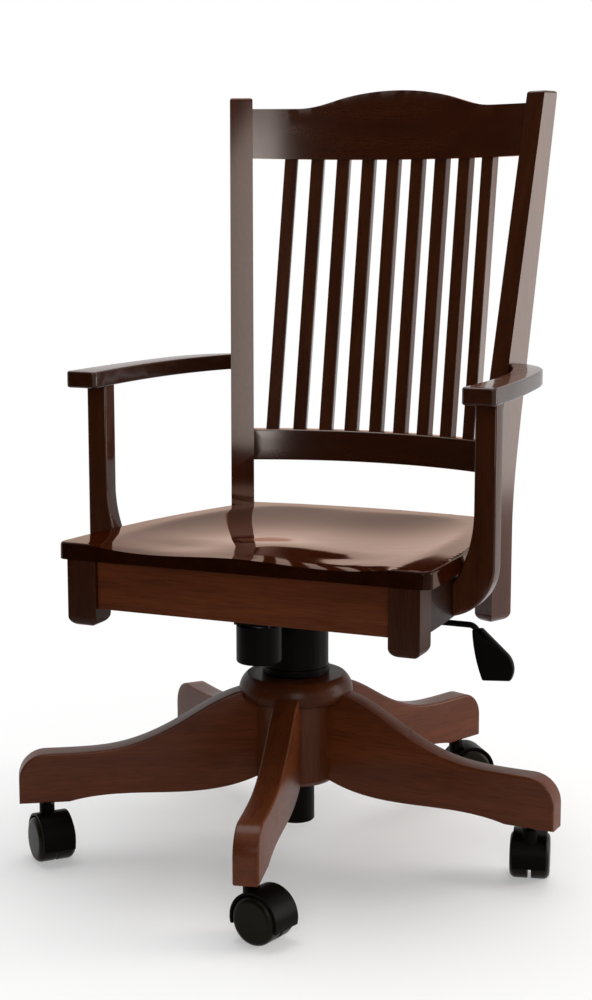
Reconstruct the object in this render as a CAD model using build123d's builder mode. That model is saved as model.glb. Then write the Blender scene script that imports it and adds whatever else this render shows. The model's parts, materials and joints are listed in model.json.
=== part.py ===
"""Swivel desk chair in lacquered wood, on a five-leg base with casters.

Millimetres, +Z up. The floor is z = 0, the origin lies on the column axis,
and the sitter faces -Y. Everything is drawn with the seat at its lowest
height and the tilt at its upright stop.
"""
import os
from math import asin, cos, radians, sin, sqrt, tan

from build123d import *

os.makedirs("parts", exist_ok=True)

# Running fits and seats
slide_clearance = 0.1
pin_clearance = 0.05
axial_gap = 0.3

# Base: turned hub, five sawn legs
leg_count = 5
leg_first_angle = 14.35
leg_reach = 371
leg_thickness = 32
leg_foot_z = 76
leg_belly_z = 82
leg_heel_z = 101
leg_back_z = 143
leg_neck_z = 154
leg_head_z = 222
leg_throat = 165
leg_throat_z = 174
leg_neck = 212
leg_pad_length = 66
leg_pad_rise = 36
leg_tip_drop = 36
leg_edge_round = 3
hub_radius = 57
hub_bottom_z = 92
hub_foot_chamfer = 7
ring_radius = 76.5
ring_bottom_z = 205
ring_lip_z = 214
ring_top_z = 237
ring_nose = 5
ring_shoulder = 11
sleeve_wall = 3

# Gas column
cylinder_radius = 25
cylinder_wall = 3
cylinder_floor = 6
cylinder_bottom_z = 33
cylinder_top_z = 262
bushing_length = 80
thrust_bearing_height = 6
rod_radius = 5
rod_collar_radius = 10
rod_collar_height = 4
piston_height = 10
piston_z = 235
clip_radius = 9
clip_height = 1.6
tube_radius = 14
tube_wall = 2.5
tube_bottom_z = 60
tube_guide_height = 8
tube_top_z = 348
tube_cap_height = 8
release_pin_radius = 4
lift_travel = 85

# Telescoping column covers
cover_radius = 43.5
cover_wall = 2.5
cover_collar = 1.5
cover_collar_height = 9
cover_gap = 1
cover_inner_wall = 2.5
cover_foot_gap = 2
cover_overlap = 2

# Tilt mechanism under the seat
housing_bottom_z = 330
housing_plate = 4
housing_half_width = 60
housing_rear_y = 62
housing_front_y = -64
housing_wall_top_z = 370
socket_boss_wall = 9
nose_half_width = 24
nose_front_y = -143
nose_wall_top_z = 352
tilt_pin_y = -35
tilt_pin_z = 356
tilt_pin_radius = 6
tilt_pin_end = 1
ear_thickness = 5
ear_gap = 0.5
ear_round = 14
seat_plate_thickness = 4
seat_plate_half_width = 88
seat_plate_front_y = -118
seat_plate_rear_y = 108
seat_plate_corner = 14
screw_radius = 3
screw_head_radius = 5.5
screw_head_height = 2.5
screw_bite = 6
screw_inset = 12

# Tilt tension knob
knob_y = -119
knob_radius = 29
knob_bottom_z = 279
knob_height = 49
knob_wall = 4
knob_edge = 3
bolt_radius = 6
bolt_head_radius = 11
bolt_head_height = 5
spring_radius = 19
spring_wall = 5

# Height lever
lever_y = 25
lever_pivot_x = 62
lever_pivot_z = 356
lever_pivot_radius = 3
lever_pivot_ear = 6
lever_pivot_ear_round = 8
lever_finger_front_y = -8
lever_finger_rear_y = 38
lever_finger_tip_x = -7
lever_finger_thickness = 5
lever_finger_tail = 8
lever_rod_radius = 4
lever_drop_x = 118
lever_rod_z = 318
lever_bend_x = 240
lever_bend_radius = 12
lever_tang_x = 262
lever_tang_z = 290
paddle_thickness = 11
paddle_round = 3
paddle_neck_x = 239
paddle_neck_z = 313
paddle_neck_width = 13
paddle_crown_rise = 2
paddle_shoulder_x = 286
paddle_shoulder_z = 285
paddle_toe_x = 291
paddle_toe_z = 249
paddle_bottom_x = 254
paddle_bottom_z = 246

# Seat board, sloped down to the back
seat_slope = 1.5
seat_front_y = -190
seat_front_half_width = 254
seat_corner_round = 14
seat_front_bottom_z = 406
seat_thickness = 22
seat_side_bow = 12
seat_rear_y = 294
seat_edge_round = 4
seat_corner_lead = 4
seat_corner_lap = 2
scoop_lip = 1
scoop_hollow_share = 0.5
scoop_stations = (
    (-205, 214, 9, 3.5),
    (-150, 215, 4.6, 2.6),
    (-90, 214, 5.8, 4.4),
    (20, 209, 12, 12),
    (150, 190, 10.5, 11),
    (258, 150, -0.6, -0.6),
)

# Feet and aprons under the seat
front_foot_size = 41
front_foot_outer_x = 241
front_foot_front_y = -186
front_foot_bottom_z = 318
foot_round = 13
apron_thickness = 20
apron_bottom_z = 342
front_apron_setback = 6
side_apron_setback = 4
rear_apron_y = 247
apron_end_cover = 2

# Back: posts, rails and slats set round one upright axis
back_axis_y = -136
back_post_angle = 24.9
back_post_width = 29.5
back_post_depth = 40
back_post_top_depth = 26.5
back_post_front_r = 414.7
back_post_bottom_z = 272
back_post_top_z = 1012
back_bend_z = 400
back_bend_radius = 950
back_rake = 9.65
back_post_top_round = 4
rail_thickness = 20
rail_setback = 3
rail_edge_round = 3
lower_rail_bottom_z = 483
lower_rail_top_z = 528
crest_bottom_z = 925
crest_sag = 4
crest_end_z = 996
crest_peak_z = 1021
crest_hump_half = 150
crest_shoulder_x = 85
crest_shoulder_z = 1010
slat_count = 9
slat_pitch = 38.4
slat_width = 16.5
slat_depth = 14
slat_tenon = 10

# Arms and their J-shaped posts
arm_thickness = 22
arm_top_z = 637.5
arm_front_y = -84
arm_outer_x = 299
arm_width = 46
arm_corner_round = 8
arm_edge_round = 3
arm_outer_bow = ((3, 104), (12, 214), (37, 319))
arm_inner_bow = ((8, 234), (-3, 124))
arm_tail_reach = 28
arm_seat_lead = 4
arm_seat_lap = 6
arm_post_outer_x = 288.5
arm_post_width = 28.5
arm_post_front_y = -45
arm_post_depth = 27
arm_post_edge_round = 3
arm_post_bottom_z = 342
arm_post_outer_radius = 68
arm_post_inner_start_z = 478
arm_post_heel_z = 386
arm_post_lap = 3
arm_bolt_radius = 3
arm_bolt_bite = 16
plug_radius = 5
plug_depth = 6

# Twin-wheel casters
caster_inset = 36
caster_trails = (77.4, 193.4, 128, 320, 49)
caster_trail = 18.5
wheel_radius = 30
wheel_width = 23
wheel_gap = 0.5
wheel_round = 8
axle_radius = 4
axle_bite = 15
hood_wall = 3
hood_gap = 1.5
hood_skirt = 9
hood_reveal = 4
web_thickness = 4
boss_radius = 10
boss_top_z = 71
boss_foot_z = 44
stem_radius = 5.5
stem_seat_z = 61
socket_wall = 2.5
socket_depth = 38

# Places worked out from the driving dimensions
caster_circle = leg_reach - caster_inset
leg_angles = [leg_first_angle + 360 / leg_count * i for i in range(leg_count)]
bore_radius = cylinder_radius - cylinder_wall
sleeve_radius = cylinder_radius + sleeve_wall
cover_bore = cover_radius - cover_wall
inner_cover_radius = cover_bore - cover_gap
cover_bottom_z = ring_top_z + cover_foot_gap
inner_cover_top_z = cover_bottom_z + lift_travel + cover_overlap
housing_floor_z = housing_bottom_z + housing_plate
slope = tan(radians(seat_slope))
seat_up = (0, sin(radians(seat_slope)), cos(radians(seat_slope)))
seat_bottom = Plane((0, seat_front_y, seat_front_bottom_z), x_dir=(1, 0, 0), z_dir=seat_up)
rake = tan(radians(back_rake))
bend_end_z = back_bend_z + back_bend_radius * sin(radians(back_rake))
bend_end_r = back_post_front_r + back_bend_radius * (1 - cos(radians(back_rake)))
post_sin = sin(radians(back_post_angle))
post_cos = cos(radians(back_post_angle))
back_axis = Axis((0, back_axis_y, 0), (0, 0, -1))
post_plane = Plane((0, back_axis_y, 0), x_dir=(post_sin, post_cos, 0), z_dir=(post_cos, -post_sin, 0))
rail_plane = Plane((0, back_axis_y, 0), x_dir=(-post_sin, post_cos, 0), z_dir=(post_cos, post_sin, 0))
arm_bottom_z = arm_top_z - arm_thickness
foot_inner_x = front_foot_outer_x - front_foot_size
foot_rear_y = front_foot_front_y + front_foot_size
socket_radius = stem_radius + slide_clearance + socket_wall


def back_front_radius(z):
    """Distance from the back's axis to the post's front edge, from the bend upward."""
    if z > bend_end_z:
        return bend_end_r + (z - bend_end_z) * rake
    return back_post_front_r + back_bend_radius - sqrt(back_bend_radius**2 - (z - back_bend_z) ** 2)


def post_point(radius, out):
    """Plan point on the right post: radius from the axis, out from its inner face."""
    return (radius * post_sin + out * post_cos, back_axis_y + radius * post_cos - out * post_sin)


def seat_bottom_z(y):
    return seat_front_bottom_z - (y - seat_front_y) * slope


# Hub
with BuildPart() as hub:
    with BuildSketch(Plane.XZ):
        with BuildLine():
            Polyline(
                (sleeve_radius, hub_bottom_z),
                (hub_radius - hub_foot_chamfer, hub_bottom_z),
                (hub_radius, hub_bottom_z + hub_foot_chamfer),
                (hub_radius, ring_bottom_z),
                (sleeve_radius, ring_bottom_z),
                close=True,
            )
        make_face()
    revolve(axis=Axis.Z)
hub.part.label = "hub"
export_step(hub.part, "parts/hub.step")

# Moulding ring on top of the hub
with BuildPart() as hub_ring:
    with BuildSketch(Plane.XZ):
        with BuildLine():
            lip = (ring_radius, ring_lip_z)
            shoulder = TangentArc(lip, (ring_radius - ring_shoulder, ring_top_z), tangent=(0, 1))
            nose = TangentArc(lip, (ring_radius - ring_nose, ring_bottom_z), tangent=(0, -1))
            Polyline(shoulder @ 1, (sleeve_radius, ring_top_z), (sleeve_radius, ring_bottom_z), nose @ 1)
        make_face()
    revolve(axis=Axis.Z)
hub_ring.part.label = "hub_ring"
export_step(hub_ring.part, "parts/hub_ring.step")

# Steel sleeve that lines the hub
with BuildPart() as hub_sleeve:
    with BuildSketch(Plane.XY.offset(hub_bottom_z)):
        Circle(sleeve_radius)
        Circle(cylinder_radius, mode=Mode.SUBTRACT)
    extrude(amount=ring_top_z - hub_bottom_z)
hub_sleeve.part.label = "hub_sleeve"
export_step(hub_sleeve.part, "parts/hub_sleeve.step")

# Five sawn legs: one pattern, turned round the column
leg_root = hub_radius - hub_foot_chamfer
leg_shoulder = leg_reach - leg_tip_drop
leg_heel = leg_reach - leg_pad_length
with BuildPart() as leg_pattern:
    with BuildSketch(Plane.XZ):
        with BuildLine():
            top = Spline(
                (leg_root, leg_head_z),
                (leg_throat, leg_throat_z),
                (leg_neck, leg_neck_z),
                (leg_shoulder, leg_back_z),
                tangents=[(1, -0.1), (1, 0)],
            )
            tip = RadiusArc(top @ 1, (leg_reach, leg_back_z - leg_tip_drop), leg_tip_drop)
            sole = Polyline(tip @ 1, (leg_reach, leg_foot_z), (leg_heel, leg_foot_z))
            belly = Spline(
                sole @ 1,
                (leg_heel - leg_pad_rise, leg_belly_z),
                (leg_throat, leg_belly_z),
                (leg_root, leg_heel_z),
            )
            Line(belly @ 1, top @ 0)
        make_face()
    extrude(amount=leg_thickness / 2, both=True)
    fillet(leg_pattern.edges().filter_by(Axis.Y, reverse=True), leg_edge_round)
    add(hub.part, mode=Mode.SUBTRACT)
    add(hub_ring.part, mode=Mode.SUBTRACT)
    with BuildSketch(Plane.XY.offset(leg_foot_z)):
        with Locations((caster_circle, 0)):
            Circle(socket_radius)
    extrude(amount=socket_depth, mode=Mode.SUBTRACT)

for number, angle in enumerate(leg_angles, 1):
    with BuildPart() as leg:
        add(leg_pattern.part, rotation=(0, 0, angle - 90))
    leg.part.label = f"leg_{number}"
    export_step(leg.part, f"parts/leg_{number}.step")

# Steel sockets pressed into the leg tips
with BuildPart() as caster_sockets:
    with BuildSketch(Plane.XY.offset(leg_foot_z)):
        with PolarLocations(caster_circle, leg_count, leg_first_angle - 90):
            Circle(socket_radius)
            Circle(stem_radius + slide_clearance, mode=Mode.SUBTRACT)
    extrude(amount=socket_depth)
caster_sockets.part.label = "caster_sockets"
export_step(caster_sockets.part, "parts/caster_sockets.step")

# Outer tube of the gas column, closed at the foot
with BuildPart() as cylinder_tube:
    with BuildSketch(Plane.XY.offset(cylinder_bottom_z)):
        Circle(cylinder_radius)
    extrude(amount=cylinder_top_z - cylinder_bottom_z)
    with BuildSketch(Plane.XY.offset(cylinder_bottom_z + cylinder_floor)):
        Circle(bore_radius)
    extrude(amount=cylinder_top_z - cylinder_bottom_z, mode=Mode.SUBTRACT)
    with BuildSketch(Plane.XY.offset(cylinder_bottom_z)):
        Circle(rod_radius + slide_clearance)
    extrude(amount=cylinder_floor, mode=Mode.SUBTRACT)
    chamfer(cylinder_tube.edges().group_by(Axis.Z)[0].sort_by(SortBy.RADIUS)[-1], cylinder_wall / 2)
cylinder_tube.part.label = "cylinder_tube"
export_step(cylinder_tube.part, "parts/cylinder_tube.step")

# Guide bushing in the mouth of the outer tube
with BuildPart() as guide_bushing:
    with BuildSketch(Plane.XY.offset(cylinder_top_z - bushing_length)):
        Circle(bore_radius)
        Circle(tube_radius + slide_clearance, mode=Mode.SUBTRACT)
    extrude(amount=bushing_length)
guide_bushing.part.label = "guide_bushing"
export_step(guide_bushing.part, "parts/guide_bushing.step")

# Thrust bearing that the piston rod turns on
thrust_bottom_z = cylinder_bottom_z + cylinder_floor
thrust_top_z = thrust_bottom_z + thrust_bearing_height
with BuildPart() as thrust_bearing:
    with BuildSketch(Plane.XY.offset(thrust_bottom_z)):
        Circle(rod_collar_radius)
        Circle(rod_radius + slide_clearance, mode=Mode.SUBTRACT)
    extrude(amount=thrust_bearing_height)
thrust_bearing.part.label = "thrust_bearing"
export_step(thrust_bearing.part, "parts/thrust_bearing.step")

# Lower column cover, standing on the moulding ring
with BuildPart() as column_cover_lower:
    with BuildSketch(Plane.XY.offset(ring_top_z)):
        Circle(inner_cover_radius)
        Circle(inner_cover_radius - cover_inner_wall, mode=Mode.SUBTRACT)
    extrude(amount=inner_cover_top_z - ring_top_z)
column_cover_lower.part.label = "column_cover_lower"
export_step(column_cover_lower.part, "parts/column_cover_lower.step")

# Piston rod with its collar, its piston and a turned-down foot
collar_z = thrust_top_z + axial_gap
tube_bore = tube_radius - tube_wall
clip_top_z = cylinder_bottom_z - axial_gap
with BuildPart() as piston_rod:
    with BuildSketch(Plane.XZ):
        with BuildLine():
            Polyline(
                (0, clip_top_z - clip_height),
                (rod_radius, clip_top_z - clip_height),
                (rod_radius, collar_z),
                (rod_collar_radius, collar_z),
                (rod_collar_radius, collar_z + rod_collar_height),
                (rod_radius, collar_z + rod_collar_height),
                (rod_radius, piston_z),
                (tube_bore - slide_clearance, piston_z),
                (tube_bore - slide_clearance, piston_z + piston_height),
                (0, piston_z + piston_height),
                close=True,
            )
        make_face()
    revolve(axis=Axis.Z)
piston_rod.part.label = "piston_rod"
export_step(piston_rod.part, "parts/piston_rod.step")

# Spring clip that holds the rod's foot in the outer tube
with BuildPart() as retainer_clip:
    with BuildSketch(Plane.XY.offset(clip_top_z - clip_height)):
        Circle(clip_radius)
        Circle(rod_radius, mode=Mode.SUBTRACT)
    extrude(amount=clip_height)
retainer_clip.part.label = "retainer_clip"
export_step(retainer_clip.part, "parts/retainer_clip.step")

# Pressure tube that slides on the piston and carries the chair
with BuildPart() as pressure_tube:
    with BuildSketch(Plane.XZ):
        with BuildLine():
            Polyline(
                (rod_radius + slide_clearance, tube_bottom_z),
                (tube_radius, tube_bottom_z),
                (tube_radius, tube_top_z),
                (release_pin_radius + slide_clearance, tube_top_z),
                (release_pin_radius + slide_clearance, tube_top_z - tube_cap_height),
                (tube_bore, tube_top_z - tube_cap_height),
                (tube_bore, tube_bottom_z + tube_guide_height),
                (rod_radius + slide_clearance, tube_bottom_z + tube_guide_height),
                close=True,
            )
        make_face()
    revolve(axis=Axis.Z)
pressure_tube.part.label = "pressure_tube"
export_step(pressure_tube.part, "parts/pressure_tube.step")

# Release pin of the gas valve, pressed down by the lever's finger
release_pin_top_z = lever_pivot_z - lever_finger_thickness / 2 - axial_gap
with BuildPart() as release_pin:
    with BuildSketch(Plane.XY.offset(tube_top_z - tube_cap_height)):
        Circle(release_pin_radius)
    extrude(amount=release_pin_top_z - tube_top_z + tube_cap_height)
release_pin.part.label = "release_pin"
export_step(release_pin.part, "parts/release_pin.step")

# Upper column cover with a collar at its lip and a flange under the mechanism
with BuildPart() as column_cover_upper:
    with BuildSketch(Plane.XZ):
        with BuildLine():
            Polyline(
                (cover_bore, cover_bottom_z),
                (cover_radius + cover_collar, cover_bottom_z),
                (cover_radius + cover_collar, cover_bottom_z + cover_collar_height),
                (cover_radius, cover_bottom_z + cover_collar_height + cover_collar),
                (cover_radius, housing_bottom_z),
                (tube_radius, housing_bottom_z),
                (tube_radius, housing_bottom_z - cover_wall),
                (cover_bore, housing_bottom_z - cover_wall),
                close=True,
            )
        make_face()
    revolve(axis=Axis.Z)
column_cover_upper.part.label = "column_cover_upper"
export_step(column_cover_upper.part, "parts/column_cover_upper.step")

# Pressed-steel housing of the tilt mechanism: a pan with a nose for the tension bolt
inner_half = housing_half_width - housing_plate
pivot_window = (lever_finger_front_y - axial_gap, lever_finger_rear_y + axial_gap)
with BuildPart() as mechanism_housing:
    with BuildSketch(Plane.XY.offset(housing_bottom_z)):
        with BuildLine():
            Polyline(
                (-housing_half_width, housing_rear_y),
                (-housing_half_width, housing_front_y),
                (-nose_half_width, housing_front_y),
                (-nose_half_width, nose_front_y),
                (nose_half_width, nose_front_y),
                (nose_half_width, housing_front_y),
                (housing_half_width, housing_front_y),
                (housing_half_width, housing_rear_y),
                close=True,
            )
        make_face()
    extrude(amount=housing_wall_top_z - housing_bottom_z)
    offset(amount=-housing_plate, openings=mechanism_housing.faces().sort_by(Axis.Z)[-1])
    with BuildSketch(Plane.XY.offset(nose_wall_top_z)):
        with Locations((0, (nose_front_y + housing_front_y) / 2)):
            Rectangle(2 * nose_half_width, housing_front_y - nose_front_y)
    extrude(amount=housing_wall_top_z - nose_wall_top_z, mode=Mode.SUBTRACT)
    with BuildSketch(Plane.XY.offset(housing_bottom_z)):
        Circle(tube_radius + socket_boss_wall)
    extrude(amount=tube_top_z - tube_cap_height - housing_bottom_z)
    with BuildSketch(Plane.XZ.offset(-pivot_window[1] - lever_pivot_ear)):
        with Locations((lever_pivot_x, lever_pivot_z)):
            Circle(lever_pivot_ear_round)
        with Locations((inner_half, lever_pivot_z)):
            Rectangle(2 * housing_plate, 2 * lever_pivot_ear_round)
        make_hull()
    extrude(amount=pivot_window[1] - pivot_window[0] + 2 * lever_pivot_ear)
    with BuildSketch(Plane.XZ.offset(-pivot_window[1])):
        with Locations((inner_half, (housing_floor_z + housing_wall_top_z) / 2)):
            Rectangle(4 * lever_pivot_ear_round, housing_wall_top_z - housing_floor_z)
    extrude(amount=pivot_window[1] - pivot_window[0], mode=Mode.SUBTRACT)
    with BuildSketch(Plane.XY.offset(housing_bottom_z)):
        Circle(tube_radius)
        with Locations((0, knob_y)):
            Circle(bolt_radius)
    extrude(amount=housing_wall_top_z - housing_bottom_z, mode=Mode.SUBTRACT)
    with BuildSketch(Plane.YZ.offset(housing_half_width)):
        with Locations((tilt_pin_y, tilt_pin_z)):
            Circle(tilt_pin_radius)
    extrude(amount=-2 * housing_half_width, mode=Mode.SUBTRACT)
    with BuildSketch(Plane.XZ.offset(-pivot_window[1] - lever_pivot_ear)):
        with Locations((lever_pivot_x, lever_pivot_z)):
            Circle(lever_pivot_radius)
    extrude(amount=pivot_window[1] - pivot_window[0] + 2 * lever_pivot_ear, mode=Mode.SUBTRACT)
mechanism_housing.part.label = "mechanism_housing"
export_step(mechanism_housing.part, "parts/mechanism_housing.step")

# Steel pins of the mechanism: the tilt axle and the lever's pivot
ear_inner_x = housing_half_width + ear_gap
with BuildPart() as mechanism_pins:
    with BuildSketch(Plane.YZ):
        with Locations((tilt_pin_y, tilt_pin_z)):
            Circle(tilt_pin_radius)
    extrude(amount=ear_inner_x + ear_thickness + tilt_pin_end, both=True)
    with BuildSketch(Plane.XZ.offset(-pivot_window[1] - lever_pivot_ear)):
        with Locations((lever_pivot_x, lever_pivot_z)):
            Circle(lever_pivot_radius)
    extrude(amount=pivot_window[1] - pivot_window[0] + 2 * lever_pivot_ear)
mechanism_pins.part.label = "mechanism_pins"
export_step(mechanism_pins.part, "parts/mechanism_pins.step")

# Tension bolt, its spring and the knob that screws along it
with BuildPart() as tension_bolt:
    with BuildSketch(Plane.XY.offset(knob_bottom_z)):
        with Locations((0, knob_y)):
            Circle(bolt_radius)
    extrude(amount=housing_floor_z - knob_bottom_z)
    with BuildSketch(Plane.XY.offset(housing_floor_z)):
        with Locations((0, knob_y)):
            RegularPolygon(bolt_head_radius, 6)
    extrude(amount=bolt_head_height)
tension_bolt.part.label = "tension_bolt"
export_step(tension_bolt.part, "parts/tension_bolt.step")

knob_floor_z = knob_bottom_z + knob_wall
with BuildPart() as tension_spring:
    with BuildSketch(Plane.XY.offset(knob_floor_z + axial_gap)):
        with Locations((0, knob_y)):
            Circle(spring_radius)
            Circle(spring_radius - spring_wall, mode=Mode.SUBTRACT)
    extrude(amount=housing_bottom_z - knob_floor_z - axial_gap)
tension_spring.part.label = "tension_spring"
export_step(tension_spring.part, "parts/tension_spring.step")

with BuildPart() as tension_knob:
    with BuildSketch(Plane.XY.offset(knob_bottom_z)):
        with Locations((0, knob_y)):
            Circle(knob_radius)
    extrude(amount=knob_height)
    fillet(tension_knob.edges().group_by(Axis.Z)[0], knob_edge)
    with BuildSketch(Plane.XY.offset(knob_floor_z)):
        with Locations((0, knob_y)):
            Circle(knob_radius - knob_wall)
    extrude(amount=knob_height, mode=Mode.SUBTRACT)
    with BuildSketch(Plane.XY.offset(knob_bottom_z)):
        with Locations((0, knob_y)):
            Circle(bolt_radius + pin_clearance)
    extrude(amount=knob_wall, mode=Mode.SUBTRACT)
tension_knob.part.label = "tension_knob"
export_step(tension_knob.part, "parts/tension_knob.step")

# Height lever: a flat finger over the release pin, a bent rod and a moulded paddle
finger_width = lever_finger_rear_y - lever_finger_front_y
finger_mid_y = (lever_finger_rear_y + lever_finger_front_y) / 2
finger_tail_x = lever_pivot_x + lever_finger_tail
lever_plane = Plane((0, lever_y, 0), x_dir=(1, 0, 0), z_dir=(0, -1, 0))
with BuildPart() as lever_rod:
    with BuildLine(lever_plane) as rod_path:
        FilletPolyline(
            (finger_tail_x - lever_rod_radius, lever_pivot_z),
            (finger_tail_x + lever_finger_tail, lever_pivot_z),
            (lever_drop_x, lever_rod_z),
            (lever_bend_x, lever_rod_z),
            (lever_tang_x, lever_tang_z),
            radius=lever_bend_radius,
        )
    with BuildSketch(Plane(rod_path.line @ 0, z_dir=rod_path.line % 0)):
        Circle(lever_rod_radius)
    sweep()
    with BuildSketch(Plane.XY.offset(lever_pivot_z - lever_finger_thickness / 2)):
        with Locations(((lever_finger_tip_x + finger_tail_x) / 2, finger_mid_y)):
            Rectangle(finger_tail_x - lever_finger_tip_x, finger_width)
    extrude(amount=lever_finger_thickness)
    with BuildSketch(Plane.XZ.offset(-lever_finger_rear_y)):
        with Locations((lever_pivot_x, lever_pivot_z)):
            Circle(lever_pivot_radius + lever_finger_thickness / 2)
    extrude(amount=finger_width)
    with BuildSketch(Plane.XZ.offset(-lever_finger_rear_y)):
        with Locations((lever_pivot_x, lever_pivot_z)):
            Circle(lever_pivot_radius + pin_clearance)
    extrude(amount=finger_width, mode=Mode.SUBTRACT)
lever_rod.part.label = "lever_rod"
export_step(lever_rod.part, "parts/lever_rod.step")

with BuildPart() as lever_paddle:
    with BuildSketch(lever_plane):
        with BuildLine():
            crown = Line(
                (paddle_neck_x, paddle_neck_z),
                (paddle_neck_x + paddle_neck_width, paddle_neck_z + paddle_crown_rise),
            )
            outer = Line(crown @ 1, (paddle_shoulder_x, paddle_shoulder_z))
            nose = TangentArc(outer @ 1, (paddle_toe_x, paddle_toe_z), tangent=outer % 1)
            foot = Line(nose @ 1, (paddle_bottom_x, paddle_bottom_z))
            TangentArc(crown @ 0, foot @ 1, tangent=(0.05, -1))
        make_face()
    extrude(amount=paddle_thickness / 2, both=True)
    fillet(lever_paddle.edges(), paddle_round)
    add(lever_rod.part, mode=Mode.SUBTRACT)
lever_paddle.part.label = "lever_paddle"
export_step(lever_paddle.part, "parts/lever_paddle.step")

# Bolts that draw the arms to the back posts, under round plugs
arm_mid_z = arm_top_z - arm_thickness / 2
arm_r = back_front_radius(arm_mid_z)
arm_bolt_r = arm_r + arm_tail_reach / 2
with BuildPart() as arm_bolts:
    with BuildSketch(post_plane):
        with Locations((arm_bolt_r, arm_mid_z)):
            Circle(plug_radius)
    extrude(amount=plug_depth)
    with BuildSketch(post_plane.offset(plug_depth)):
        with Locations((arm_bolt_r, arm_mid_z)):
            Circle(arm_bolt_radius)
    extrude(amount=back_post_width - plug_depth + arm_bolt_bite)
    mirror(about=Plane.YZ)
arm_bolts.part.label = "arm_bolts"
export_step(arm_bolts.part, "parts/arm_bolts.step")

# Back posts: bent at the seat and tapered to the top
post_top_r = back_front_radius(back_post_top_z)
post_heel_r = back_post_front_r + back_post_depth
knee_back = (
    bend_end_r + back_post_depth * cos(radians(back_rake)),
    bend_end_z - back_post_depth * sin(radians(back_rake)),
)
post_crown = (post_top_r + back_post_top_depth, back_post_top_z)
with BuildPart() as right_back_post:
    with BuildSketch(post_plane):
        with BuildLine():
            shin = Line((back_post_front_r, back_post_bottom_z), (back_post_front_r, back_bend_z))
            knee = JernArc(shin @ 1, (0, 1), back_bend_radius, -back_rake)
            Polyline(knee @ 1, (post_top_r, back_post_top_z), post_crown)
            Spline(
                post_crown,
                knee_back,
                (post_heel_r, back_bend_z),
                tangents=[(knee_back[0] - post_crown[0], knee_back[1] - post_crown[1]), (0, -1)],
            )
            Polyline((post_heel_r, back_bend_z), (post_heel_r, back_post_bottom_z), shin @ 0)
        make_face()
    extrude(amount=back_post_width)
    fillet(right_back_post.faces().sort_by(Axis.Z)[0].edges(), foot_round)
    fillet(right_back_post.faces().sort_by(Axis.Z)[-1].edges(), back_post_top_round)
    add(arm_bolts.part, mode=Mode.SUBTRACT)
right_back_post.part.label = "right_back_post"
export_step(right_back_post.part, "parts/right_back_post.step")

with BuildPart() as left_back_post:
    mirror(right_back_post.part, about=Plane.YZ)
left_back_post.part.label = "left_back_post"
export_step(left_back_post.part, "parts/left_back_post.step")

# Mounting plate under the seat, with ears on the tilt axle
plate_length = seat_plate_rear_y - seat_plate_front_y
screw_span_x = 2 * (seat_plate_half_width - screw_inset)
screw_span_y = plate_length - 2 * screw_inset
plate_mid = (seat_plate_rear_y + seat_plate_front_y) / 2 - seat_front_y
ear_top_z = seat_bottom_z(tilt_pin_y) - seat_plate_thickness / 2
with BuildPart() as seat_screws:
    with BuildSketch(seat_bottom.offset(-seat_plate_thickness - screw_head_height)):
        with Locations((0, plate_mid)):
            with GridLocations(screw_span_x, screw_span_y, 2, 2):
                Circle(screw_head_radius)
    extrude(amount=screw_head_height)
    with BuildSketch(seat_bottom.offset(-seat_plate_thickness)):
        with Locations((0, plate_mid)):
            with GridLocations(screw_span_x, screw_span_y, 2, 2):
                Circle(screw_radius)
    extrude(amount=seat_plate_thickness + screw_bite)
seat_screws.part.label = "seat_screws"
export_step(seat_screws.part, "parts/seat_screws.step")

with BuildPart() as seat_plate:
    with BuildSketch(seat_bottom.offset(-seat_plate_thickness)):
        with Locations((0, plate_mid)):
            RectangleRounded(2 * seat_plate_half_width, plate_length, seat_plate_corner)
    extrude(amount=seat_plate_thickness)
    with BuildSketch(Plane.YZ.offset(ear_inner_x)):
        with Locations((tilt_pin_y, tilt_pin_z)):
            Circle(ear_round)
        with Locations((tilt_pin_y, ear_top_z - ear_thickness / 2)):
            Rectangle(4 * ear_round, ear_thickness)
        make_hull()
    extrude(amount=ear_thickness)
    mirror(about=Plane.YZ)
    with BuildSketch(Plane.YZ):
        with Locations((tilt_pin_y, tilt_pin_z)):
            Circle(tilt_pin_radius + pin_clearance)
    extrude(amount=ear_inner_x + ear_thickness, both=True, mode=Mode.SUBTRACT)
    add(seat_screws.part, mode=Mode.SUBTRACT)
seat_plate.part.label = "seat_plate"
export_step(seat_plate.part, "parts/seat_plate.step")

# Solid wood seat: scooped saddle, notched round the back posts
seat_out = post_point(back_post_front_r - seat_corner_lead, back_post_width + seat_corner_lap)
seat_in = post_point(post_heel_r - seat_corner_lap, seat_corner_lap)
with BuildPart() as seat_blank:
    with BuildSketch() as seat_plan:
        with BuildLine():
            front = Line((0, 0), (seat_front_half_width, 0))
            side = SagittaArc(front @ 1, (seat_out[0], seat_out[1] - seat_front_y), -seat_side_bow)
            notch = Line(side @ 1, (seat_in[0], seat_in[1] - seat_front_y))
            TangentArc((0, seat_rear_y - seat_front_y), notch @ 1, tangent=(1, 0))
            mirror(about=Plane.YZ)
        make_face()
        fillet(seat_plan.vertices().sort_by(Axis.Y)[:2], seat_corner_round)
    extrude(amount=seat_thickness)
    fillet(seat_blank.faces().sort_by(Axis.Z)[-1].edges(), seat_edge_round)

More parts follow.
